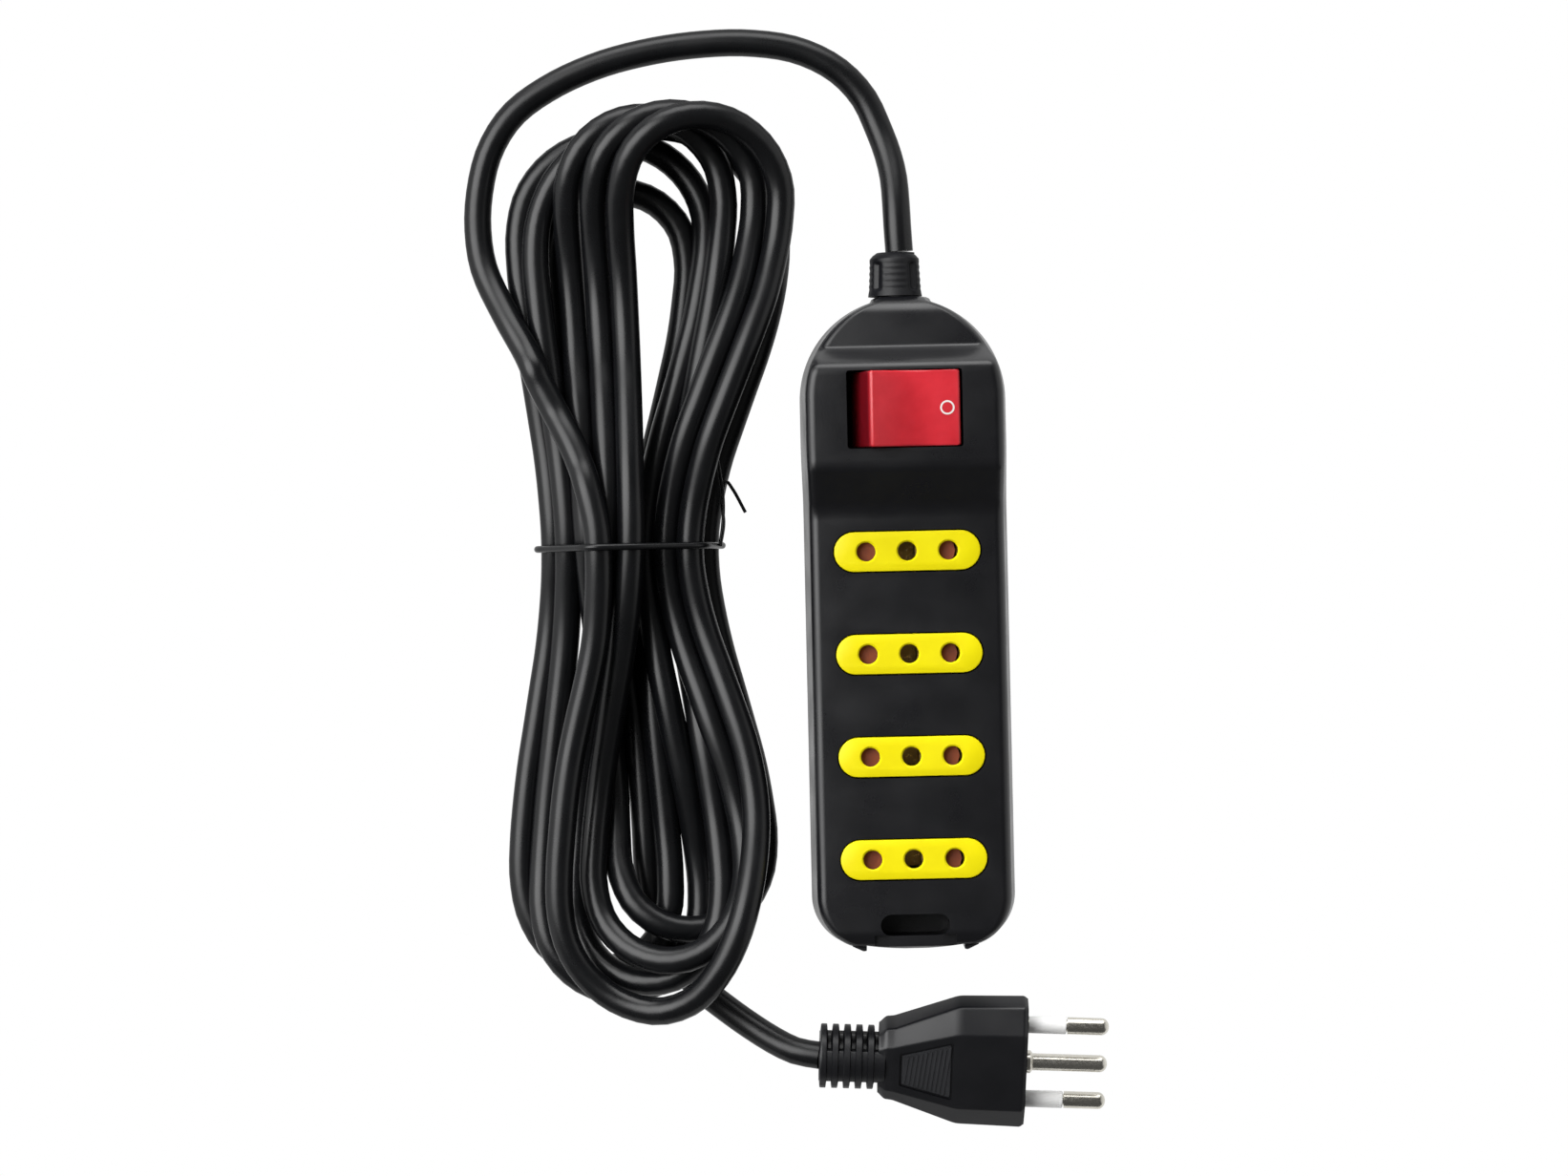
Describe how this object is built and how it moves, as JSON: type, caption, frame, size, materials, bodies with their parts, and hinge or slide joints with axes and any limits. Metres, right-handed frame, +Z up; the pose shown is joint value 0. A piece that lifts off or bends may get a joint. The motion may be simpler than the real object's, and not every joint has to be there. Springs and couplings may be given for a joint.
{
  "type": "extension cord",
  "caption": "Black multi-outlet extension lead with a red rocker switch, yellow in-line outlets, a tied hank of cord and a moulded three-pin plug.",
  "frame": {"origin": "on the supporting surface, under the middle of the strip's case", "axes": "+Y along the strip towards its cord, +Z up, +X to the right of the cord end"},
  "size_m": [0.1468, 0.2591, 0.0375],
  "materials": {
    "case_plastic": "satin black moulded plastic, fine grain",
    "cord_pvc": "smooth black flexible PVC",
    "outlet_plastic": "bright yellow moulded plastic",
    "rocker_plastic": "translucent red plastic",
    "shutter_plastic": "reddish brown plastic",
    "inner_plastic": "dark grey insulating plastic",
    "brass": "stamped brass",
    "nickel": "nickel-plated brass",
    "steel": "zinc-plated steel",
    "sleeve_plastic": "white insulating sleeve",
    "lamp_glass": "neon lamp glass",
    "brown_wire": "brown PVC insulation",
    "blue_wire": "blue PVC insulation",
    "earth_wire": "green and yellow PVC insulation"
  },
  "bodies": {
    "strip": {"top_shell": "case_plastic", "bottom_shell": "case_plastic", "case_screw_1": "steel", "case_screw_2": "steel", "case_screw_3": "steel", "case_screw_4": "steel", "case_screw_5": "steel", "case_screw_6": "steel", "cord_boot": "cord_pvc", "cord_clamp": "inner_plastic", "clamp_screw_1": "steel", "clamp_screw_2": "steel", "cord_sheath_end": "cord_pvc", "socket_insert_1": "outlet_plastic", "shutter_spring_1": "steel", "socket_insert_2": "outlet_plastic", "shutter_spring_2": "steel", "socket_insert_3": "outlet_plastic", "shutter_spring_3": "steel", "socket_insert_4": "outlet_plastic", "shutter_spring_4": "steel", "contact_carrier": "inner_plastic", "line_busbar": "brass", "earth_busbar": "brass", "neutral_busbar": "brass", "terminal_in": "brass", "terminal_out": "brass", "terminal_neutral": "brass", "switch_body": "inner_plastic", "wire_line": "brown_wire", "wire_switched_line": "brown_wire", "wire_neutral": "blue_wire", "wire_earth": "earth_wire", "cord_strip_side": "cord_pvc", "cord_hank": "cord_pvc", "cord_plug_side": "cord_pvc", "wire_tie": "cord_pvc", "plug_body": "cord_pvc", "plug_bridge": "inner_plastic", "pin_line": "nickel", "pin_neutral": "nickel", "pin_earth": "nickel", "sleeve_line": "sleeve_plastic", "sleeve_neutral": "sleeve_plastic"},
    "rocker": {"rocker": "rocker_plastic", "neon_lamp": "lamp_glass"},
    "contact_lever": {"contact_lever": "brass"},
    "shutter_1": {"shutter_1": "shutter_plastic"},
    "shutter_2": {"shutter_2": "shutter_plastic"},
    "shutter_3": {"shutter_3": "shutter_plastic"},
    "shutter_4": {"shutter_4": "shutter_plastic"}
  },
  "joints": [
    {"name": "rocker_tilt", "type": "hinge", "parent": "strip", "child": "rocker", "pos_m": [0, 0.049, 0.0235], "axis": [0, -1, 0], "range_deg": [0, 24]},
    {"name": "contact_lever_tilt", "type": "hinge", "parent": "strip", "child": "contact_lever", "pos_m": [0, 0.049, 0.0146], "axis": [0, -1, 0], "range_deg": [-12, 0]},
    {"name": "shutter_1_slide", "type": "slide", "parent": "strip", "child": "shutter_1", "axis": [1, 0, 0], "range_m": [0, 0.0044], "stiffness_N_per_m": 60, "springref_m": -0.002},
    {"name": "shutter_2_slide", "type": "slide", "parent": "strip", "child": "shutter_2", "axis": [1, 0, 0], "range_m": [0, 0.0044], "stiffness_N_per_m": 60, "springref_m": -0.002},
    {"name": "shutter_3_slide", "type": "slide", "parent": "strip", "child": "shutter_3", "axis": [1, 0, 0], "range_m": [0, 0.0044], "stiffness_N_per_m": 60, "springref_m": -0.002},
    {"name": "shutter_4_slide", "type": "slide", "parent": "strip", "child": "shutter_4", "axis": [1, 0, 0], "range_m": [0, 0.0044], "stiffness_N_per_m": 60, "springref_m": -0.002}
  ],
  "couplings": [
    {"joint": "contact_lever_tilt", "follows": "rocker_tilt", "ratio": -0.5}
  ]
}
